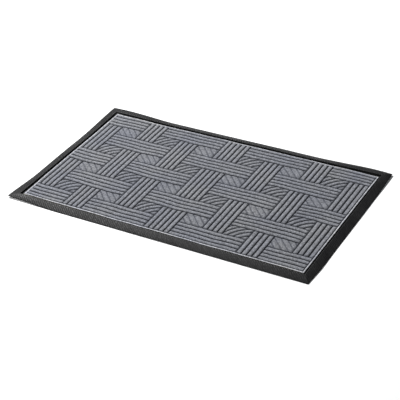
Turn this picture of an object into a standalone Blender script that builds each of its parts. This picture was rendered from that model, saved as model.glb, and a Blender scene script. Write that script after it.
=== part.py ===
"""Door mat, 75 x 45 cm: a grey needle-punched felt tread, pressed into a basket weave of ribs, on a black rubber
base with a bevelled rubber border.

Frame: metres, +Z up, +X along the mat's length, +Y across it. The origin is on the floor under the middle.
From the floor up the mat is a backing sheet on grip nubs, a border cured onto the sheet's rim, an adhesive film,
a scrim, and the ribbed felt. Layers that are bonded together keep JOINT_GAP between their meshes.
"""

import math

import bmesh
import bpy
from mathutils import Matrix, Vector

# Driving dimensions, in metres
MAT_LENGTH = 0.750
MAT_WIDTH = 0.450
CORNER_RADIUS = 0.0025
JOINT_GAP = 0.0003

RIM_THICKNESS = 0.0012
CREST_HEIGHT = 0.0066
CREST_WIDTH = 0.0012
BORDER_WIDTH = 0.0205
MOAT_WIDTH = 0.0045

NUB_HEIGHT = 0.0010
NUB_RADIUS = 0.0040
NUB_DRAFT = 0.0007
NUB_PITCH = 0.040
NUB_SIDES = 8
SHEET_THICKNESS = 0.0012
SHEET_LAP = 0.006

FILM_THICKNESS = 0.0003
SCRIM_THICKNESS = 0.0003
LAYER_INSET = 0.001

FELT_BASE = 0.0010
RIB_HEIGHT = 0.0026
RIB_ROOT = 0.0005
GROOVE_WIDTH = 0.0026
EDGE_LIP = 0.001
LEAST_RIB_AREA = 0.0055**2

# The weave: strips of ribs with gaps between them, both ways. The middle column has one rib more than the others.
RIB_PITCH = 0.0123
COLUMN_RIBS = (4, 4, 4, 5, 4, 4, 4)
COLUMN_GAP = 0.0572
ROW_RIBS = (4, 4, 4, 4, 4)
ROW_GAP = 0.0382
WEAVE_MIDDLE = (-0.0018, 0.0016)

# Worked out from the driving dimensions
FELT_LENGTH = MAT_LENGTH - 2 * (BORDER_WIDTH + MOAT_WIDTH)
FELT_WIDTH = MAT_WIDTH - 2 * (BORDER_WIDTH + MOAT_WIDTH)
SHEET_TOP = NUB_HEIGHT + SHEET_THICKNESS
FILM_BOTTOM = SHEET_TOP + JOINT_GAP
SCRIM_BOTTOM = FILM_BOTTOM + FILM_THICKNESS + JOINT_GAP
FELT_BOTTOM = SCRIM_BOTTOM + SCRIM_THICKNESS + JOINT_GAP
FELT_FLOOR = FELT_BOTTOM + FELT_BASE
RIB_TOP = FELT_FLOOR + RIB_HEIGHT


def clear_scene():
    for obj in list(bpy.data.objects):
        bpy.data.objects.remove(obj, do_unlink=True)


def new_collection(name):
    collection = bpy.data.collections.new(name)
    bpy.context.scene.collection.children.link(collection)
    return collection


def material(name, colour, roughness):
    made = bpy.data.materials.new(name)
    made.use_nodes = True
    shader = made.node_tree.nodes["Principled BSDF"]
    shader.inputs["Base Color"].default_value = (*colour, 1.0)
    shader.inputs["Roughness"].default_value = roughness
    shader.inputs["Metallic"].default_value = 0.0
    return made


def object_from(bm, name, collection, look=None):
    """Turns a bmesh into a named object, with its faces pointing out."""
    bmesh.ops.recalc_face_normals(bm, faces=bm.faces)
    mesh = bpy.data.meshes.new(name)
    bm.to_mesh(mesh)
    bm.free()
    obj = bpy.data.objects.new(name, mesh)
    collection.objects.link(obj)
    if look:
        mesh.materials.append(look)
    return obj


def helper(obj):
    """A cutter, or a shape that a Boolean joins on, which isn't a part by itself."""
    obj.hide_render = True
    obj.display_type = "WIRE"
    return obj


def boolean(target, other, operation):
    modifier = target.modifiers.new(f"{operation.lower()} {other.name}", "BOOLEAN")
    modifier.operation = operation
    modifier.solver = "EXACT"
    modifier.object = other


def add_box(bm, low, high):
    size = Vector(high) - Vector(low)
    middle = (Vector(high) + Vector(low)) / 2
    place = Matrix.Translation(middle) @ Matrix.Diagonal((*size, 1.0))
    bmesh.ops.create_cube(bm, size=1.0, matrix=place)


def centred_box(length, width, bottom, top):
    """A box centred on the Z axis."""
    bm = bmesh.new()
    add_box(bm, (-length / 2, -width / 2, bottom), (length / 2, width / 2, top))
    return bm


def add_prism(bm, outline, bottom, top):
    """A flat convex outline, raised from one height to another."""
    base = bm.faces.new([bm.verts.new((x, y, bottom)) for x, y in outline])
    raised = bmesh.ops.extrude_face_region(bm, geom=[base])
    moved = [item for item in raised["geom"] if isinstance(item, bmesh.types.BMVert)]
    bmesh.ops.translate(bm, vec=(0, 0, top - bottom), verts=moved)


def area(outline):
    pairs = zip(outline, outline[1:] + outline[:1])
    return abs(sum(a[0] * b[1] - b[0] * a[1] for a, b in pairs)) / 2


def clipped(outline, low, high):
    """The part of a convex outline that lies inside a rectangle."""
    for axis in (0, 1):
        for limit, side in ((low[axis], 1), (high[axis], -1)):
            kept = []
            for a, b in zip(outline, outline[1:] + outline[:1]):
                depth_a = (a[axis] - limit) * side
                depth_b = (b[axis] - limit) * side
                if depth_a >= 0:
                    kept.append(a)
                if (depth_a > 0 > depth_b) or (depth_a < 0 < depth_b):
                    share = depth_a / (depth_a - depth_b)
                    kept.append(tuple(p + share * (q - p) for p, q in zip(a, b)))
            outline = kept
    return outline


# The weave's layout


def weave_lines(rib_counts, gap, middle):
    """(low, high) of each strip and each gap along one axis: even places are strips, odd ones are gaps."""
    strips = [count * RIB_PITCH for count in rib_counts]
    at = middle - (sum(strips) + gap * (len(strips) - 1)) / 2
    lines = []
    for strip in strips:
        lines += [(at, at + strip), (at + strip, at + strip + gap)]
        at += strip + gap
    return lines[:-1]


def span(lines, first, last):
    """From one line's low end to another's high end, with both kept inside the weave."""
    return lines[max(first, 0)][0], lines[min(last, len(lines) - 1)][1]


def straight_ribs(along, across, count):
    """Rib outlines as (low, high) pairs: count ribs side by side across, all running along."""
    ends = (along[0] + GROOVE_WIDTH / 2, along[1] - GROOVE_WIDTH / 2)
    for k in range(count):
        side = across[0] + k * RIB_PITCH
        yield ends, (side + GROOVE_WIDTH / 2, side + RIB_PITCH - GROOVE_WIDTH / 2)


def rectangle(x, y):
    return [(x[0], y[0]), (x[1], y[0]), (x[1], y[1]), (x[0], y[1])]


def diagonal_ribs(x, y, lean):
    """Outlines of 45 degree ribs that fill a gap cell. lean is 1 for ribs that rise to +X, -1 for ribs that fall."""
    low = (x[0] + GROOVE_WIDTH / 2, y[0] + GROOVE_WIDTH / 2)
    high = (x[1] - GROOVE_WIDTH / 2, y[1] - GROOVE_WIDTH / 2)
    middle = Vector(((x[0] + x[1]) / 2, (y[0] + y[1]) / 2))
    run = Vector((1, lean)).normalized()
    side = Vector((-run.y, run.x))
    reach = math.hypot(x[1] - x[0], y[1] - y[0])
    half = (RIB_PITCH - GROOVE_WIDTH) / 2
    steps = math.ceil(reach / 2 / RIB_PITCH)
    for k in range(-steps, steps + 1):
        centre = middle + side * k * RIB_PITCH
        corners = ((-reach, -half), (reach, -half), (reach, half), (-reach, half))
        band = [tuple(centre + run * a + side * b) for a, b in corners]
        outline = clipped(band, low, high)
        if len(outline) > 2 and area(outline) > LEAST_RIB_AREA:
            yield outline


def weave_ribs():
    """Every rib's outline. Columns count from the mat's left end, rows from its front."""
    columns = weave_lines(COLUMN_RIBS, COLUMN_GAP, WEAVE_MIDDLE[0])
    rows = weave_lines(ROW_RIBS, ROW_GAP, WEAVE_MIDDLE[1])
    for i, column in enumerate(columns):
        for j, row in enumerate(rows):
            row_on_top = (i - j) % 4 == 0
            if i % 2 == 1 and j % 2 == 1:
                yield from diagonal_ribs(column, row, 1 if row_on_top else -1)
            elif i % 2 == 0 and j % 2 == 0 and row_on_top:
                for x, y in straight_ribs(span(columns, i - 1, i + 1), row, ROW_RIBS[j // 2]):
                    yield rectangle(x, y)
            elif i % 2 == 0 and j % 2 == 0:
                for y, x in straight_ribs(span(rows, j - 1, j + 1), column, COLUMN_RIBS[i // 2]):
                    yield rectangle(x, y)


# The parts


def backing_sheet(parts, helpers, look):
    """The rubber sheet under the tread, with grip nubs moulded on its underside."""
    length = MAT_LENGTH - 2 * (BORDER_WIDTH - SHEET_LAP)
    width = MAT_WIDTH - 2 * (BORDER_WIDTH - SHEET_LAP)
    sheet = centred_box(length, width, NUB_HEIGHT, SHEET_TOP)
    sheet = object_from(sheet, "backing_sheet", parts, look)

    nubs = bmesh.new()
    depth = NUB_HEIGHT + SHEET_THICKNESS / 2
    across = round(length / NUB_PITCH) - 1
    deep = round(width / NUB_PITCH) - 1
    for i in range(across):
        for j in range(deep):
            x = (i - (across - 1) / 2) * NUB_PITCH
            y = (j - (deep - 1) / 2) * NUB_PITCH
            bmesh.ops.create_cone(
                nubs,
                cap_ends=True,
                segments=NUB_SIDES,
                radius1=NUB_RADIUS - NUB_DRAFT,
                radius2=NUB_RADIUS,
                depth=depth,
                matrix=Matrix.Translation((x, y, depth / 2)),
            )
    nubs = helper(object_from(nubs, "nub_shapes", helpers))
    boolean(sheet, nubs, "UNION")


def bevelled_border(parts, helpers, look):
    """The border ring: thin at its rim, rising to a crest, and lapped over the backing sheet's rim."""
    bm = bmesh.new()
    add_box(bm, (-MAT_LENGTH / 2, -MAT_WIDTH / 2, 0), (MAT_LENGTH / 2, MAT_WIDTH / 2, RIM_THICKNESS))
    top = max(bm.faces, key=lambda face: face.calc_center_median().z)
    raised = bmesh.ops.extrude_discrete_faces(bm, faces=[top])["faces"][0]
    run = 2 * (BORDER_WIDTH - CREST_WIDTH)
    shrink = ((MAT_LENGTH - run) / MAT_LENGTH, (MAT_WIDTH - run) / MAT_WIDTH, 1.0)
    bmesh.ops.translate(bm, vec=(0, 0, CREST_HEIGHT - RIM_THICKNESS), verts=raised.verts)
    bmesh.ops.scale(bm, vec=shrink, verts=raised.verts)
    corners = [edge for edge in bm.edges if edge.verts[0].co.z != edge.verts[1].co.z]
    bmesh.ops.bevel(
        bm, geom=corners, offset=CORNER_RADIUS, segments=3, profile=0.5, affect="EDGES"
    )
    border = object_from(bm, "bevelled_border", parts, look)

    inner_length = MAT_LENGTH - 2 * BORDER_WIDTH
    inner_width = MAT_WIDTH - 2 * BORDER_WIDTH
    well = centred_box(inner_length, inner_width, -CREST_HEIGHT, 2 * CREST_HEIGHT)
    well = helper(object_from(well, "well_cutter", helpers))
    boolean(border, well, "DIFFERENCE")

    lap = 2 * (SHEET_LAP + JOINT_GAP)
    rebate = centred_box(inner_length + lap, inner_width + lap, -CREST_HEIGHT, SHEET_TOP + JOINT_GAP)
    rebate = helper(object_from(rebate, "rebate_cutter", helpers))
    boolean(border, rebate, "DIFFERENCE")


def thin_layer(name, bottom, thickness, parts, look):
    """A flat layer between the backing sheet and the felt."""
    length = FELT_LENGTH - 2 * LAYER_INSET
    width = FELT_WIDTH - 2 * LAYER_INSET
    object_from(centred_box(length, width, bottom, bottom + thickness), name, parts, look)


def ribbed_felt(parts, helpers, look):
    """The needle-punched tread: one sheet of felt, pressed thin in the grooves and left thick in the ribs."""
    felt = centred_box(FELT_LENGTH, FELT_WIDTH, FELT_BOTTOM, FELT_FLOOR)
    felt = object_from(felt, "ribbed_felt", parts, look)

    ribs = bmesh.new()
    high = (FELT_LENGTH / 2 - EDGE_LIP, FELT_WIDTH / 2 - EDGE_LIP)
    low = (-high[0], -high[1])
    for outline in weave_ribs():
        add_prism(ribs, clipped(outline, low, high), FELT_FLOOR - RIB_ROOT, RIB_TOP)
    ribs = helper(object_from(ribs, "rib_shapes", helpers))
    boolean(felt, ribs, "UNION")


def build():
    clear_scene()
    parts = new_collection("door_mat")
    helpers = new_collection("cutters")
    rubber = material("black rubber", (0.030, 0.030, 0.032), 0.6)
    felt = material("grey felt", (0.21, 0.22, 0.25), 0.95)
    adhesive = material("adhesive film", (0.55, 0.50, 0.38), 0.4)
    scrim = material("woven scrim", (0.50, 0.50, 0.48), 0.8)

    backing_sheet(parts, helpers, rubber)
    bevelled_border(parts, helpers, rubber)
    thin_layer("adhesive_film", FILM_BOTTOM, FILM_THICKNESS, parts, adhesive)
    thin_layer("felt_scrim", SCRIM_BOTTOM, SCRIM_THICKNESS, parts, scrim)
    ribbed_felt(parts, helpers, felt)


build()
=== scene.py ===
"""The looks of a 75 x 45 cm door mat: a grey needle-felt tread in a basket weave of ribs, on a black rubber base.

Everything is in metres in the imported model's frame: +X along the mat, +Y across it, +Z up, the origin on the floor
under the middle. All five pieces follow one lift field, so the mat lies as a used one does, with its border curled
a little off the floor.
"""

import math

import bpy
import numpy as np
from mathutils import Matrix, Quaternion, Vector


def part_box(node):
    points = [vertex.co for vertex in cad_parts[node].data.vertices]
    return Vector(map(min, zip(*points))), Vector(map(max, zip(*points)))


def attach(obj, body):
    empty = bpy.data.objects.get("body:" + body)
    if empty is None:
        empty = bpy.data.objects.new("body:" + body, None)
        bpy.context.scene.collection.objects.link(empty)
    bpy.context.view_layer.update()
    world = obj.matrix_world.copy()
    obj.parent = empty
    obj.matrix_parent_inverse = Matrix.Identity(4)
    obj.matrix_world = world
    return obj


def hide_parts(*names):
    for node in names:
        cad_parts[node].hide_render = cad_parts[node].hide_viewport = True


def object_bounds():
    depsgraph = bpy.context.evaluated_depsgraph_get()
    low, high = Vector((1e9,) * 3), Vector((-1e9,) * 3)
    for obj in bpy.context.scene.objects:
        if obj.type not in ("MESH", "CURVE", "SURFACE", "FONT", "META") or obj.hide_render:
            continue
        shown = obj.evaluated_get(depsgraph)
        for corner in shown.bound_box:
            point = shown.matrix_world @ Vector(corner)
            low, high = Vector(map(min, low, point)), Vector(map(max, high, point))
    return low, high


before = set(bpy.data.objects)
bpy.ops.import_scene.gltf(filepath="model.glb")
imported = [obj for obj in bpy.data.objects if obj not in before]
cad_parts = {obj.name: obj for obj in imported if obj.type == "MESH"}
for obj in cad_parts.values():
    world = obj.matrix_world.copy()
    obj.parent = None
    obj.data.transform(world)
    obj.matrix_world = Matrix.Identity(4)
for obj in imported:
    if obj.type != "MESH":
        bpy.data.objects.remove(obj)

CAD_LOW, CAD_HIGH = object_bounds()
BODY = "root"
HALF_LENGTH, HALF_WIDTH = CAD_HIGH.x, CAD_HIGH.y

# The felt's relief: ribs over a thin base, with grooves that are flat at the bottom and rounded at the top
FELT_BASE = 0.0010
RIB_ROOT_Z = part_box("ribbed_felt")[0].z + FELT_BASE
RIB_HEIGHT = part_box("ribbed_felt")[1].z - RIB_ROOT_Z
GROOVE_FLOOR = 0.0010
SHOULDER = 0.0040
SHOULDER_POWER = 2.0
END_SHOULDER = 0.0036
CROWN = 0.00020

# The lip pressed flat round the felt's edge. Heights are shares of a rib's height; LEAST_LIP is the least share of
# the highlight painted along the lip.
LIP_WIDTH = 0.0032
LIP_HEIGHT = 0.16
LIP_GROOVE = 0.0014
LIP_POWER = 2.2
LEAST_LIP = 0.35
EDGE_DROP = 0.12

# The weave: strips of ribs with gaps between them, both ways
RIB_PITCH = 0.0123
COLUMN_RIBS = (4, 4, 4, 5, 4, 4, 4)
COLUMN_GAP = 0.0572
ROW_RIBS = (4, 4, 4, 4, 4)
ROW_GAP = 0.0382
WEAVE_MIDDLE = (-0.0018, 0.0016)

# The slanting ribs in the gap cells, which rise or fall towards +X. Turns are in degrees, depths and heights shares.
RISING = {
    "pitch": 0.0124,
    "groove": 0.0035,
    "turn": -42,
    "radius": 0.085,
    "depth": 1.0,
    "floor": 0.0013,
    "shoulder": 0.0036,
    "height": 0.95,
}
FALLING = {
    "pitch": 0.0120,
    "groove": 0.0027,
    "turn": 44,
    "depth": 0.85,
    "floor": 0.0006,
    "shoulder": 0.0026,
    "height": 0.80,
}

# The felt's grid: places from a groove's middle to its rib's, places in from the felt's edge, and the step in a gap.
# The underside keeps one line in UNDERSIDE_EVERY; the next constant is its share of the pressed felt's darkening and
# painted groove shade, where 1 is a groove.
GROOVE_GRID = np.array([0, 0.0008, 0.0011, 0.0017, 0.0027, 0.0040, 0.0053])
EDGE_GRID = np.array([0, 0.0003, 0.0007, 0.0012, 0.0017, 0.0022, 0.0028, 0.0034, 0.0041, 0.0050])
PLAIN_STEP = 0.0015
UNDERSIDE_EVERY = 24
UNDERSIDE_PRESSED_AND_SHADED = 0.6

# Lumps on the felt: height, length and seed. They need some room under the ribs' tops.
LUMPS = ((0.00011, 0.0042, 3), (0.00010, 0.011, 4))
LUMP_ROOM = 0.0002

# How far the ribs stray across the mat and along it: slowly, and in short waves that fade out by the felt's edge
SWAY_Y, SWAY_X = 0.0015, 0.00025
SHORT_SWAY_Y, SHORT_SWAY_X = 0.00035, 0.00018
SWAY_MARGIN = 0.02

# The border: a thin rim that rises to a crest, with a moat between the crest and the felt
RIM_THICKNESS = 0.0009
BEVEL_BOW = 0.0002
CREST_ROUND = 0.0007
OUTER_CORNER = 0.0025
INNER_CORNER = 0.0006
BORDER_STEP = 0.004
MOAT_WIDTH = 0.0045
LAYER_GAP = 0.0003

# The sides of the mat's corners along X and Y, anticlockwise
CORNERS = ((1, 1), (-1, 1), (-1, -1), (1, -1))

# The backing sheet's grip nubs, each in a cell of the sheet's underside that has CELL_STEPS edges on each side.
# NUB_RINGS holds (radius, height) from a nub's foot to its tip.
NUB_PITCH = 0.040
NUBS_ALONG, NUBS_ACROSS = 17, 10
CELL_STEPS = 4
NUB_SIDES = 4 * CELL_STEPS
SHEET_BOTTOM = 0.0010
NUB_RINGS = ((0.0054, SHEET_BOTTOM), (0.0046, SHEET_BOTTOM - 0.0001), (0.0041, SHEET_BOTTOM - 0.0004))
NUB_RINGS += ((0.0037, 0.00025), (0.0032, 0.00005), (0.0026, 0.0))

# How many grid points the thin layers have along the mat and across it
LAYER_GRID = (57, 37)

# Where the mat's edge curls off the floor: a place on the edge, the height there, and how far it reaches along the
# edge. CURL_DEPTH is how far it reaches in from the edge.
CURLS = (
    ((-0.375, -0.225), 0.0036, 0.11),
    ((-0.335, 0.225), 0.0060, 0.14),
    ((0.315, 0.225), 0.0042, 0.13),
)
CURL_DEPTH = 0.034

# The slight ripple of the whole edge: its height, how far in it goes, and its length
EDGE_RIPPLE = 0.0010
RIPPLE_DEPTH = 0.06
RIPPLE_LENGTH = 0.17

# Corners drawn out of true: the corner's sides, how far it moves, and how far that reaches
BORDER_DRAWN = (((-1, -1), (-0.0030, 0.0040), 0.13), ((1, -1), (-0.0030, 0.0), 0.07), ((1, 1), (-0.0015, 0.0), 0.09))
FELT_DRAWN = (((-1, -1), (0.0024, 0.0034), 0.14), ((1, 1), (0.0014, -0.0042), 0.12))
BORDER_DRAWN_DEPTH = 0.020

# The studio. Angles are in degrees: azimuth 0 looks along +Y, and the roll is about the camera's own axis.
FLOOR_REACH = 12.0
FLOOR_DROP = 0.00005
CAMERA_LENS, CAMERA_SENSOR = 107.95, 36
CAMERA_AZIMUTH, CAMERA_ELEVATION, CAMERA_ROLL = 30.98, 33.29, -3.39
CAMERA_TARGET = (0.0248, -0.0474, 0)
CAMERA_DISTANCE = 2.672


# Small helpers


def ripple(x, y, wavelength, seed, waves=7):
    """A smooth pattern between about -1 and 1: plane waves in seeded directions."""
    rng = np.random.default_rng(seed)
    total = np.zeros(np.broadcast(x, y).shape)
    for _ in range(waves):
        angle, phase = rng.uniform(0, math.tau, 2)
        number = math.tau / wavelength * rng.uniform(0.7, 1.4)
        total = total + np.sin(number * (x * math.cos(angle) + y * math.sin(angle)) + phase)
    return total / math.sqrt(waves) / 1.4


def smooth(t):
    t = np.clip(t, 0, 1)
    return t * t * (3 - 2 * t)


def draw_corners(points, corners, share):
    """Moves the points near some of the mat's corners along the floor."""
    moved = points.copy()
    for (side_x, side_y), (by_x, by_y), reach in corners:
        away = np.hypot(points[:, 0] - side_x * HALF_LENGTH, points[:, 1] - side_y * HALF_WIDTH)
        drawn = smooth(1 - away / reach) * share
        moved[:, 0] += by_x * drawn
        moved[:, 1] += by_y * drawn
    return moved


def lift(points):
    """Moves points up by the curls of the mat's border and the slight ripple of its edges, and draws its corners."""
    x, y = points[:, 0], points[:, 1]
    up = np.zeros(len(points))
    to_edge = np.minimum(HALF_LENGTH - np.abs(x), HALF_WIDTH - np.abs(y))
    for (edge_x, edge_y), height, reach in CURLS:
        away = np.hypot(x - edge_x, y - edge_y)
        up += height * smooth(1 - away / reach) * smooth(1 - to_edge / CURL_DEPTH)
    near_edge = smooth(1 - to_edge / RIPPLE_DEPTH)
    up += EDGE_RIPPLE * near_edge * (0.5 + 0.5 * ripple(x, y, RIPPLE_LENGTH, 11))
    lifted = points.copy()
    lifted[:, 2] += up
    return draw_corners(lifted, BORDER_DRAWN, smooth(1 - to_edge / BORDER_DRAWN_DEPTH))


def mesh_piece(name, points, faces, material, sharp_degrees=None):
    """A piece made of points and faces, lifted, that rides on the mat's body."""
    mesh = bpy.data.meshes.new(name)
    mesh.from_pydata(lift(np.asarray(points, float)), [], faces)
    mesh.shade_smooth()
    if sharp_degrees:
        mesh.set_sharp_from_angle(angle=math.radians(sharp_degrees))
    mesh.materials.append(material)
    mesh.validate()
    piece = bpy.data.objects.new(name, mesh)
    bpy.context.scene.collection.objects.link(piece)
    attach(piece, BODY)
    return piece


class Nodes:
    """Makes a material's nodes and links them."""

    def __init__(self, name):
        self.material = bpy.data.materials.new(name)
        self.material.use_nodes = True
        self.tree = self.material.node_tree
        self.shader = self.tree.nodes["Principled BSDF"]
        self.place = self.tree.nodes.new("ShaderNodeTexCoord").outputs["Object"]

    def set(self, **values):
        for name, value in values.items():
            self.shader.inputs[name.replace("_", " ")].default_value = value

    def add(self, kind, settings=(), **inputs):
        node = self.tree.nodes.new("ShaderNode" + kind)
        for key, value in dict(settings).items():
            setattr(node, key, value)
        for key, value in inputs.items():
            self.join(value, node.inputs[key.replace("_", " ")])
        return node

    def join(self, value, socket):
        if isinstance(value, bpy.types.NodeSocket):
            self.tree.links.new(value, socket)
        else:
            socket.default_value = value

    def turned(self, scale=(1, 1, 1), degrees=0.0):
        turned = self.add("Mapping", Vector=self.place, Rotation=(0, 0, math.radians(degrees))).outputs["Vector"]
        return self.add("Mapping", Vector=turned, Scale=scale).outputs["Vector"]

    def noise(self, scale, detail=3.0, roughness=0.55, where=None, distortion=0.0):
        return self.add(
            "TexNoise",
            Vector=where or self.place,
            Scale=scale,
            Detail=detail,
            Roughness=roughness,
            Distortion=distortion,
        ).outputs["Fac"]

    def maths(self, operation, a, b=0.0, clamp=False):
        node = self.add("Math", {"operation": operation, "use_clamp": clamp})
        self.join(a, node.inputs[0])
        self.join(b, node.inputs[1])
        return node.outputs[0]

    def ramp(self, value, *stops):
        """stops are (place, grey or colour)."""
        node = self.add("ValToRGB", Fac=value)
        points = node.color_ramp.elements
        while len(points) < len(stops):
            points.new(0.5)
        for point, (place, colour) in zip(points, stops):
            point.position = place
            point.color = (*colour, 1) if hasattr(colour, "__len__") else (colour,) * 3 + (1,)
        return node.outputs["Color"]

    def mix(self, factor, a, b, blend="MIX"):
        node = self.add("Mix", {"data_type": "RGBA", "blend_type": blend})
        self.join(factor, node.inputs["Factor"])
        self.join(a, node.inputs[6])
        self.join(b, node.inputs[7])
        return node.outputs[2]

    def bump(self, height, strength, distance, after=None):
        node = self.add("Bump", Height=height, Strength=strength, Distance=distance)
        if after:
            self.tree.links.new(after, node.inputs["Normal"])
        return node.outputs["Normal"]


# The weave's layout


def weave_lines(rib_counts, gap, middle):
    """(low, high) of each strip and each gap along one axis: even places are strips, odd ones are gaps."""
    strips = [count * RIB_PITCH for count in rib_counts]
    at = middle - (sum(strips) + gap * (len(strips) - 1)) / 2
    lines = []
    for strip in strips:
        lines += [(at, at + strip), (at + strip, at + strip + gap)]
        at += strip + gap
    return lines[:-1]


def span(lines, first, last):
    """From the low side of one line to the high side of another, kept within the lines there are."""
    return lines[max(first, 0)][0], lines[min(last, len(lines) - 1)][1]


def grid_lines(lines, rib_counts, low, high):
    """Grid places along one axis: close together at the strips' grooves, and even in the gaps."""
    places = []
    for k, (a, b) in enumerate(lines):
        if k % 2 == 0:
            for groove in np.arange(rib_counts[k // 2]) * RIB_PITCH + a:
                places += [*(groove + GROOVE_GRID), *(groove + RIB_PITCH - GROOVE_GRID[1:])]
            places += [b]
        else:
            places += list(np.linspace(a, b, round((b - a) / PLAIN_STEP) + 1)[1:-1])
    places = np.array([p for p in places if low + EDGE_GRID[-1] < p < high - EDGE_GRID[-1]])
    return np.unique(np.round(np.concatenate([low + EDGE_GRID, places, high - EDGE_GRID]), 6))


# The felt


def shoulder(distance, width, floor=GROOVE_FLOOR):
    """0 on a groove's floor, rising steeply to 1 over a rib's rounded shoulder."""
    t = np.clip((distance - floor) / width, 0, 1)
    return (1 - (1 - t) ** SHOULDER_POWER) ** (1 / SHOULDER_POWER)


def to_groove(across, low, pitch=RIB_PITCH):
    """How far each place is from the nearest of the grooves that start at low."""
    along = np.mod(across - low, pitch)
    return np.minimum(along, pitch - along)


def strip_height(along, across, ends, sides):
    """The ribs of a strip, which run along it and sink at its ends."""
    from_groove = to_groove(across, sides[0])
    from_end = np.minimum(along - ends[0], ends[1] - along)
    crown = CROWN / RIB_HEIGHT * smooth(from_groove / (RIB_PITCH / 2))
    return shoulder(from_groove, SHOULDER) * shoulder(from_end, END_SHOULDER) * (1 - CROWN / RIB_HEIGHT + crown)


def cell_height(x, y, across_x, across_y, ribs):
    """The short slanting ribs in a gap between strips: bowed where they rise to +X, straight where they fall."""
    u, v = x - sum(across_x) / 2, y - sum(across_y) / 2
    turn = math.radians(ribs["turn"])
    if "radius" in ribs:
        radius = ribs["radius"]
        across = np.hypot(u - radius * math.cos(turn), v - radius * math.sin(turn)) - radius
    else:
        across = u * math.cos(turn) + v * math.sin(turn)
    from_groove = to_groove(across, ribs["groove"], ribs["pitch"])
    edge = np.minimum(
        np.minimum(x - across_x[0], across_x[1] - x), np.minimum(y - across_y[0], across_y[1] - y)
    )
    rib = 1 - ribs["depth"] * (1 - shoulder(from_groove, ribs["shoulder"], ribs["floor"]))
    return ribs["height"] * rib * shoulder(edge, END_SHOULDER)


def relief(xs, ys):
    """The felt's height over its grooves' floor on the grid, as a share of a rib's height."""
    columns = weave_lines(COLUMN_RIBS, COLUMN_GAP, WEAVE_MIDDLE[0])
    rows = weave_lines(ROW_RIBS, ROW_GAP, WEAVE_MIDDLE[1])
    height = np.zeros((len(xs), len(ys)))

    def fill(x_range, y_range, shape):
        inside_x = np.flatnonzero((xs >= x_range[0]) & (xs <= x_range[1]))
        inside_y = np.flatnonzero((ys >= y_range[0]) & (ys <= y_range[1]))
        if len(inside_x) and len(inside_y):
            part = np.ix_(inside_x, inside_y)
            height[part] = shape(xs[inside_x][:, None], ys[inside_y][None, :])

    for i, column in enumerate(columns):
        for j, row in enumerate(rows):
            row_on_top = (i - j) % 4 == 0
            if i % 2 == 1 and j % 2 == 1:
                ribs = RISING if row_on_top else FALLING
                fill(column, row, lambda x, y: cell_height(x, y, column, row, ribs))
            elif i % 2 == 0 and j % 2 == 0 and row_on_top:
                ends = span(columns, i - 1, i + 1)
                fill(ends, row, lambda x, y: strip_height(x, y, ends, row))
            elif i % 2 == 0 and j % 2 == 0:
                ends = span(rows, j - 1, j + 1)
                fill(column, ends, lambda x, y: strip_height(y, x, ends, column))
    return height


def felt_top(xs, ys):
    """(height share, share of the highlight painted on the lip) on the grid: the weave, framed by a narrow lip along
    the felt's edge.
    """
    height = relief(xs, ys)
    to_edge = np.minimum(
        np.minimum(xs - xs[0], xs[-1] - xs)[:, None], np.minimum(ys - ys[0], ys[-1] - ys)[None, :]
    )
    height = height * smooth((to_edge - LIP_WIDTH) / LIP_GROOVE)
    across = np.clip(np.abs(to_edge - LIP_WIDTH / 2) / (LIP_WIDTH / 2), 0, 1)
    bead = (1 - across**LIP_POWER) * (to_edge < LIP_WIDTH) * LIP_HEIGHT
    height = np.maximum(height, bead)
    height -= EDGE_DROP * np.clip(1 - to_edge / (LIP_WIDTH / 2), 0, 1) ** 2
    lip = LEAST_LIP + (1 - LEAST_LIP) * smooth(bead / LIP_HEIGHT)
    return height, np.where(to_edge < LIP_WIDTH, lip, 0)


def grid_body(xs, ys, top_z, bottom_z, every):
    """A closed body with a fine grid on top, plain walls and a coarse underside.

    top_z holds a height per grid point. The underside keeps one line in so many of the grid's: every.
    """
    nx, ny = len(xs), len(ys)
    gx, gy = np.meshgrid(xs, ys, indexing="ij")
    points = np.stack([gx, gy, top_z], axis=-1).reshape(-1, 3)
    index = np.arange(nx * ny).reshape(nx, ny)
    faces = np.stack([index[:-1, :-1], index[1:, :-1], index[1:, 1:], index[:-1, 1:]], axis=-1)
    faces = faces.reshape(-1, 4).tolist()

    kept_x = sorted({*range(0, nx, every), nx - 1})
    kept_y = sorted({*range(0, ny, every), ny - 1})
    on_edge = np.zeros((nx, ny), bool)
    on_edge[[0, -1], :] = True
    on_edge[:, [0, -1]] = True
    used = on_edge.copy()
    used[np.ix_(kept_x, kept_y)] = True
    below = np.full((nx, ny), -1)
    below[used] = len(points) + np.arange(used.sum())
    under = np.stack([gx[used], gy[used], np.full(used.sum(), bottom_z)], axis=-1)

    rim = [index[k, 0] for k in range(nx)] + [index[-1, k] for k in range(1, ny)]
    rim += [index[k, -1] for k in range(nx - 2, -1, -1)] + [index[0, k] for k in range(ny - 2, 0, -1)]
    flat = below.reshape(-1)
    for a, b in zip(rim, rim[1:] + rim[:1]):
        faces.append([a, flat[a], flat[b], b])

    for i0, i1 in zip(kept_x, kept_x[1:]):
        for j0, j1 in zip(kept_y, kept_y[1:]):
            walk = [(i0, j) for j in range(j0, j1)] + [(i, j1) for i in range(i0, i1)]
            walk += [(i1, j) for j in range(j1, j0, -1)] + [(i, j0) for i in range(i1, i0, -1)]
            faces.append([below[p] for p in walk if below[p] >= 0])
    faces = [[int(corner) for corner in face] for face in faces]
    return np.concatenate([points, under]), faces


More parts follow.
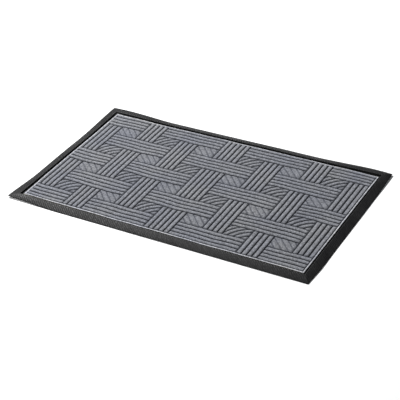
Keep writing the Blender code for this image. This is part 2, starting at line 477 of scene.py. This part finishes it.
def stray(points, half):
    """The points of the felt with its ribs a little off their straight lines, most of all across the mat."""
    x, y = points[:, 0], points[:, 1]
    inside = smooth(np.minimum(half.x - np.abs(x), half.y - np.abs(y)) / SWAY_MARGIN)
    share = 0.5 + 0.5 * inside
    slow_y = SWAY_Y * share * ripple(x, y * 0.6, 0.095, 5)
    short_y = SHORT_SWAY_Y * inside * ripple(x, y, 0.022, 6)
    slow_x = SWAY_X * share * ripple(x * 0.6, y, 0.075, 8)
    short_x = SHORT_SWAY_X * inside * ripple(x, y, 0.020, 9)
    strayed = points.copy()
    strayed[:, 1] += slow_y + short_y
    strayed[:, 0] += slow_x + short_x
    return strayed


def ribbed_felt(material):
    low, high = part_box("ribbed_felt")
    columns = weave_lines(COLUMN_RIBS, COLUMN_GAP, WEAVE_MIDDLE[0])
    rows = weave_lines(ROW_RIBS, ROW_GAP, WEAVE_MIDDLE[1])
    xs = grid_lines(columns, COLUMN_RIBS, low.x, high.x)
    ys = grid_lines(rows, ROW_RIBS, low.y, high.y)
    height, lip = felt_top(xs, ys)
    gx, gy = np.meshgrid(xs, ys, indexing="ij")
    lumps = sum(rise * ripple(gx, gy, length, seed) for rise, length, seed in LUMPS)
    top_z = RIB_ROOT_Z + (RIB_HEIGHT - LUMP_ROOM) * height + lumps
    points, faces = grid_body(xs, ys, top_z, low.z, UNDERSIDE_EVERY)
    points = draw_corners(stray(points, high), FELT_DRAWN, 1.0)

    piece = mesh_piece("felt_tread", points, faces, material)
    # Painted shade in the grooves: this share darkens the felt's colour towards each groove's floor, a little for the
    # denser pressed felt and mostly as painted shade.
    pressed_and_shaded = (1 - height) * (lip == 0)
    # The lip share sets how strongly a highlight is painted along the felt's edge.
    for name, values, underneath in (("pressed_and_shaded", pressed_and_shaded, UNDERSIDE_PRESSED_AND_SHADED), ("lip", lip, LEAST_LIP)):
        held = np.full(len(points), underneath, np.float32)
        held[: values.size] = values.reshape(-1)
        piece.data.attributes.new(name, "FLOAT", "POINT").data.foreach_set("value", held)
    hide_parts("ribbed_felt")
    return piece


# The rubber


def rounded_loop(inset, corner, step, arc=6):
    """Points round the mat at an inset from its outer edge, the same number at any inset."""
    half = (HALF_LENGTH - inset, HALF_WIDTH - inset)
    counts = (round(2 * HALF_LENGTH / step), round(2 * HALF_WIDTH / step))
    loop = []
    for quarter in range(4):
        side_x, side_y = CORNERS[quarter]
        centre = np.array([side_x * (half[0] - corner), side_y * (half[1] - corner)])
        for k in range(arc + 1):
            angle = math.radians(90 * (quarter + k / arc))
            loop.append(centre + corner * np.array([math.cos(angle), math.sin(angle)]))
        side_x, side_y = CORNERS[(quarter + 1) % 4]
        start, angle = loop[-1], math.radians(90 * (quarter + 1))
        centre = np.array([side_x * (half[0] - corner), side_y * (half[1] - corner)])
        end = centre + corner * np.array([math.cos(angle), math.sin(angle)])
        count = counts[quarter % 2]
        loop += [start + (end - start) * k / count for k in range(1, count)]
    return np.array(loop)


def border_section(width, crest, sheet_top, lap):
    """(inset, height) points round the border's section, from its rim over the crest and back underneath."""
    section = [(0.0003, 0.0), (0.00008, 0.00008), (0.0, 0.0003), (0.0, RIM_THICKNESS - 0.0004)]
    section += [(0.00012, RIM_THICKNESS - 0.00015), (0.0004, RIM_THICKNESS)]
    rise = crest - RIM_THICKNESS
    for share in np.linspace(0.1, 0.92, 10):
        bow = BEVEL_BOW * math.sin(math.pi * share)
        section.append((share * (width - 0.0012), RIM_THICKNESS + rise * share + bow))
    section += [(width - 0.0016, crest - 0.00008), (width - 0.0009, crest)]
    for degrees in (30, 60, 90):
        angle = math.radians(degrees)
        section.append(
            (width - CREST_ROUND + CREST_ROUND * math.sin(angle), crest - CREST_ROUND + CREST_ROUND * math.cos(angle))
        )
    section += [(width, sheet_top), (width - lap, sheet_top), (width - lap, 0.0)]
    return section


def bevelled_border(material):
    felt_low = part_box("ribbed_felt")[0]
    sheet_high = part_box("backing_sheet")[1]
    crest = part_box("bevelled_border")[1].z
    lap_inset = HALF_WIDTH - sheet_high.y - LAYER_GAP
    width = HALF_WIDTH + felt_low.y - MOAT_WIDTH
    section = border_section(width, crest, sheet_high.z + LAYER_GAP, width - lap_inset)
    loops = []
    for inset, z in section:
        corner = max(OUTER_CORNER - inset, INNER_CORNER)
        loop = rounded_loop(inset, corner, BORDER_STEP)
        loops.append(np.column_stack([loop, np.full(len(loop), z)]))
    around, count = len(loops[0]), len(loops)
    faces = []
    for k in range(count):
        for i in range(around):
            a, b = k * around + i, k * around + (i + 1) % around
            c, d = ((k + 1) % count) * around + (i + 1) % around, ((k + 1) % count) * around + i
            faces.append([a, b, c, d])
    piece = mesh_piece("rubber_border", np.concatenate(loops), faces, material, sharp_degrees=35)
    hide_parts("bevelled_border")
    return piece


def backing_sheet(material):
    """The sheet under the tread, with round grip nubs moulded on its underside."""
    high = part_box("backing_sheet")[1]
    top = high.z

    def lines(cells, limit):
        places = (np.arange(cells * CELL_STEPS + 1) / CELL_STEPS - cells / 2) * NUB_PITCH
        places[0], places[-1] = -limit, limit
        return places

    xs, ys = lines(NUBS_ALONG, high.x), lines(NUBS_ACROSS, high.y)
    points, faces, known = [], [], {}

    def corner(i, j, z):
        key = (i, j, z)
        if key not in known:
            known[key] = len(points)
            points.append((xs[i], ys[j], z))
        return known[key]

    for i in range(len(xs) - 1):
        for j in range(len(ys) - 1):
            faces.append([corner(i, j, top), corner(i + 1, j, top), corner(i + 1, j + 1, top), corner(i, j + 1, top)])
    last_i, last_j = len(xs) - 1, len(ys) - 1
    rim = [(i, 0) for i in range(last_i)] + [(last_i, j) for j in range(last_j)]
    rim += [(i, last_j) for i in range(last_i, 0, -1)] + [(0, j) for j in range(last_j, 0, -1)]
    for a, b in zip(rim, rim[1:] + rim[:1]):
        faces.append([corner(*a, top), corner(*a, SHEET_BOTTOM), corner(*b, SHEET_BOTTOM), corner(*b, top)])

    for cell_x in range(NUBS_ALONG):
        for cell_y in range(NUBS_ACROSS):
            i0, j0 = cell_x * CELL_STEPS, cell_y * CELL_STEPS
            x0 = (cell_x + 0.5 - NUBS_ALONG / 2) * NUB_PITCH
            y0 = (cell_y + 0.5 - NUBS_ACROSS / 2) * NUB_PITCH
            square = [(i0 + CELL_STEPS, j0 + k) for k in range(CELL_STEPS // 2, CELL_STEPS)]
            square += [(i0 + k, j0 + CELL_STEPS) for k in range(CELL_STEPS, 0, -1)]
            square += [(i0, j0 + k) for k in range(CELL_STEPS, 0, -1)]
            square += [(i0 + k, j0) for k in range(CELL_STEPS)]
            square += [(i0 + CELL_STEPS, j0 + k) for k in range(CELL_STEPS // 2)]
            ring = [corner(i, j, SHEET_BOTTOM) for i, j in square]
            for radius, z in NUB_RINGS:
                inner = []
                for k in range(NUB_SIDES):
                    angle = math.tau * k / NUB_SIDES
                    points.append((x0 + radius * math.cos(angle), y0 + radius * math.sin(angle), z))
                    inner.append(len(points) - 1)
                for k in range(NUB_SIDES):
                    n = (k + 1) % NUB_SIDES
                    faces.append([ring[k], inner[k], inner[n], ring[n]])
                ring = inner
            faces.append(ring[::-1])
    piece = mesh_piece("rubber_backing", points, faces, material, sharp_degrees=50)
    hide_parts("backing_sheet")
    return piece


def thin_layer(name, node, material):
    """A layer between rubber and felt, which follows the lift of both."""
    low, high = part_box(node)
    xs, ys = np.linspace(low.x, high.x, LAYER_GRID[0]), np.linspace(low.y, high.y, LAYER_GRID[1])
    top = np.full((len(xs), len(ys)), high.z)
    points, faces = grid_body(xs, ys, top, low.z, 1)
    piece = mesh_piece(name, points, faces, material, sharp_degrees=50)
    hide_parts(node)
    return piece


# Materials


def felt_material():
    n = Nodes("needle felt")
    n.set(Roughness=0.95, Sheen_Weight=0.10, Sheen_Roughness=0.5, Specular_IOR_Level=0.12)
    n.shader.inputs["Sheen Tint"].default_value = (0.80, 0.84, 0.92, 1)
    pressed_and_shaded = n.add("Attribute", {"attribute_name": "pressed_and_shaded"}).outputs["Fac"]
    lip = n.add("Attribute", {"attribute_name": "lip"}).outputs["Fac"]

    streaks = None
    for degrees in (12, 68, 124, 161):
        where = n.turned((2300, 380, 1500), degrees)
        streak = n.noise(1.0, 2.0, 0.6, where, 0.6)
        streaks = streak if streaks is None else n.maths("MAXIMUM", streaks, streak)
    speckle = n.noise(900, 2.0, 0.7)
    fibres = n.maths("ADD", n.maths("MULTIPLY", streaks, 0.7), n.maths("MULTIPLY", speckle, 0.3))
    heather = n.ramp(
        fibres,
        (0.40, (0.070, 0.073, 0.083)),
        (0.52, (0.160, 0.165, 0.182)),
        (0.62, (0.240, 0.246, 0.266)),
        (0.74, (0.390, 0.397, 0.418)),
    )
    patches = n.ramp(n.noise(9, 3.0), (0.35, (0.92, 0.93, 0.97)), (0.65, (1.06, 1.05, 1.02)))
    mottle = n.ramp(n.noise(260, 3.0, 0.75), (0.36, 0.54), (0.64, 1.40))
    patches = n.mix(1.0, patches, mottle, "MULTIPLY")
    heather = n.mix(1.0, heather, patches, "MULTIPLY")
    # Painted shade in the grooves: the colour darkens to nearly black towards a groove's floor, a little for the
    # denser pressed felt and mostly as painted shade.
    depth = n.ramp(pressed_and_shaded, (0.03, 0.99), (0.30, 0.80), (0.70, (0.34, 0.35, 0.39)), (0.95, (0.015, 0.016, 0.020)))
    heather = n.mix(1.0, heather, depth, "MULTIPLY")
    # Painted highlight along the felt's edge lip: its colour is made up to 2.3 times brighter, where light would
    # catch the rounded edge.
    painted_lip_highlight = n.mix(1.0, heather, (2.30, 2.27, 2.20, 1), "MULTIPLY")
    n.join(n.mix(lip, heather, painted_lip_highlight), n.shader.inputs["Base Color"])

    fluff = n.noise(420, 4.0, 0.65, None, 0.4)
    normal = n.bump(fluff, 0.45, 0.0006)
    normal = n.bump(streaks, 0.6, 0.0004, normal)
    n.join(normal, n.shader.inputs["Normal"])
    return n.material


def rubber_material(name, hatched):
    n = Nodes(name)
    n.set(Specular_IOR_Level=0.065)
    cloud = n.noise(14, 4.0, 0.6)
    scuff = n.noise(1.0, 3.0, 0.6, n.turned((420, 60, 200), -50), 0.5)
    tone = n.ramp(cloud, (0.3, (0.008, 0.008, 0.0085)), (0.7, (0.015, 0.015, 0.0155)))
    dusty = n.ramp(scuff, (0.52, 0.0), (0.80, 0.24))
    colour = n.mix(dusty, tone, (0.060, 0.060, 0.061, 1))
    gloss = n.maths("ADD", n.maths("MULTIPLY", cloud, 0.22), n.maths("MULTIPLY", scuff, 0.16))
    n.join(n.maths("ADD", gloss, 0.22), n.shader.inputs["Roughness"])
    normal = n.bump(n.noise(1500, 3.0, 0.6), 0.35, 0.0002)
    if hatched:
        wave = n.add(
            "TexWave",
            {"wave_type": "BANDS", "bands_direction": "X"},
            Vector=n.turned((1, 1, 1), -50),
            Scale=76.0,
            Distortion=2.6,
            Detail=1.0,
            Detail_Scale=2.0,
        ).outputs["Fac"]
        normal = n.bump(wave, 0.80, 0.00040, normal)
        # Painted sheen and shade on the moulded hatch: the colour is lighter on its ridges and darker in its furrows.
        colour = n.mix(1.0, colour, n.ramp(wave, (0.25, 0.75), (0.75, 1.35)), "MULTIPLY")
    else:
        weave = n.add("TexWave", {"bands_direction": "X"}, Vector=n.place, Scale=180.0).outputs["Fac"]
        weft = n.add("TexWave", {"bands_direction": "Y"}, Vector=n.place, Scale=180.0).outputs["Fac"]
        normal = n.bump(n.maths("MULTIPLY", weave, weft), 0.45, 0.0002, normal)
    n.join(colour, n.shader.inputs["Base Color"])
    n.join(normal, n.shader.inputs["Normal"])
    return n.material


def scrim_material():
    n = Nodes("woven scrim")
    n.set(Roughness=0.85, Sheen_Weight=0.15)
    warp = n.add("TexWave", {"bands_direction": "X"}, Vector=n.place, Scale=260.0, Distortion=0.6).outputs["Fac"]
    weft = n.add("TexWave", {"bands_direction": "Y"}, Vector=n.place, Scale=260.0, Distortion=0.6).outputs["Fac"]
    cloth = n.maths("MAXIMUM", warp, weft)
    n.join(n.ramp(cloth, (0.2, (0.22, 0.22, 0.21)), (0.8, (0.55, 0.54, 0.50))), n.shader.inputs["Base Color"])
    n.join(n.bump(cloth, 0.7, 0.0002), n.shader.inputs["Normal"])
    return n.material


def adhesive_material():
    n = Nodes("adhesive film")
    n.set(Specular_IOR_Level=0.5)
    smear = n.noise(60, 4.0, 0.6, n.turned((1, 5, 1), 20), 1.0)
    n.join(n.ramp(smear, (0.3, (0.36, 0.31, 0.20)), (0.7, (0.60, 0.54, 0.40))), n.shader.inputs["Base Color"])
    n.join(n.ramp(smear, (0.3, 0.25), (0.7, 0.5)), n.shader.inputs["Roughness"])
    n.join(n.bump(smear, 0.5, 0.0003), n.shader.inputs["Normal"])
    return n.material


def floor_material():
    n = Nodes("pale floor")
    n.set(Roughness=0.75, Specular_IOR_Level=0.2)
    grain = n.ramp(n.noise(7, 2.0), (0.3, (0.905, 0.905, 0.905)), (0.7, (0.925, 0.925, 0.925)))
    n.join(grain, n.shader.inputs["Base Color"])
    return n.material


# The studio


def direction(azimuth, elevation):
    """Towards a light or camera: azimuth 0 is at -Y, and 90 at +X."""
    a, e = math.radians(azimuth), math.radians(elevation)
    return Vector((math.sin(a) * math.cos(e), -math.cos(a) * math.cos(e), math.sin(e)))


def area_light(name, azimuth, elevation, distance, size, watts):
    """A round soft light that faces the middle of the mat."""
    data = bpy.data.lights.new(name, "AREA")
    data.shape, data.size, data.energy = "DISK", size, watts
    lamp = bpy.data.objects.new(name, data)
    towards = direction(azimuth, elevation)
    lamp.location = towards * distance
    lamp.rotation_mode = "QUATERNION"
    lamp.rotation_quaternion = towards.to_track_quat("Z", "Y")
    bpy.context.scene.collection.objects.link(lamp)


def studio():
    floor = bpy.data.meshes.new("floor")
    far, z = FLOOR_REACH, -FLOOR_DROP
    floor.from_pydata([(-far, -far, z), (far, -far, z), (far, far, z), (-far, far, z)], [], [(0, 1, 2, 3)])
    floor.materials.append(floor_material())
    floor = bpy.data.objects.new("floor", floor)
    bpy.context.scene.collection.objects.link(floor)

    world = bpy.data.worlds.new("studio")
    world.use_nodes = True
    world.node_tree.nodes["Background"].inputs["Color"].default_value = (0.96, 0.98, 1.0, 1)
    world.node_tree.nodes["Background"].inputs["Strength"].default_value = 0.17
    bpy.context.scene.world = world
    area_light("key", azimuth=-126, elevation=45, distance=3.5, size=0.6, watts=204)
    area_light("fill", azimuth=-32, elevation=36, distance=1.9, size=1.2, watts=12)
    area_light("side", azimuth=75, elevation=30, distance=3.4, size=1.6, watts=6)


def camera():
    data = bpy.data.cameras.new("camera")
    data.lens, data.sensor_width = CAMERA_LENS, CAMERA_SENSOR
    data.clip_start, data.clip_end = 0.05, 60
    eye = bpy.data.objects.new("camera", data)
    towards = direction(CAMERA_AZIMUTH, CAMERA_ELEVATION)
    roll = Quaternion((0, 0, 1), math.radians(CAMERA_ROLL))
    eye.location = Vector(CAMERA_TARGET) + towards * CAMERA_DISTANCE
    eye.rotation_mode = "QUATERNION"
    eye.rotation_quaternion = towards.to_track_quat("Z", "Y") @ roll
    bpy.context.scene.collection.objects.link(eye)
    bpy.context.scene.camera = eye
    bpy.context.scene.view_settings.view_transform = "Standard"


rubber = rubber_material("border rubber", hatched=True)
felt = ribbed_felt(felt_material())
bevelled_border(rubber)
backing_sheet(rubber_material("backing rubber", hatched=False))
film = thin_layer("bond_film", "adhesive_film", adhesive_material())
scrim = thin_layer("scrim_cloth", "felt_scrim", scrim_material())

studio()
camera()
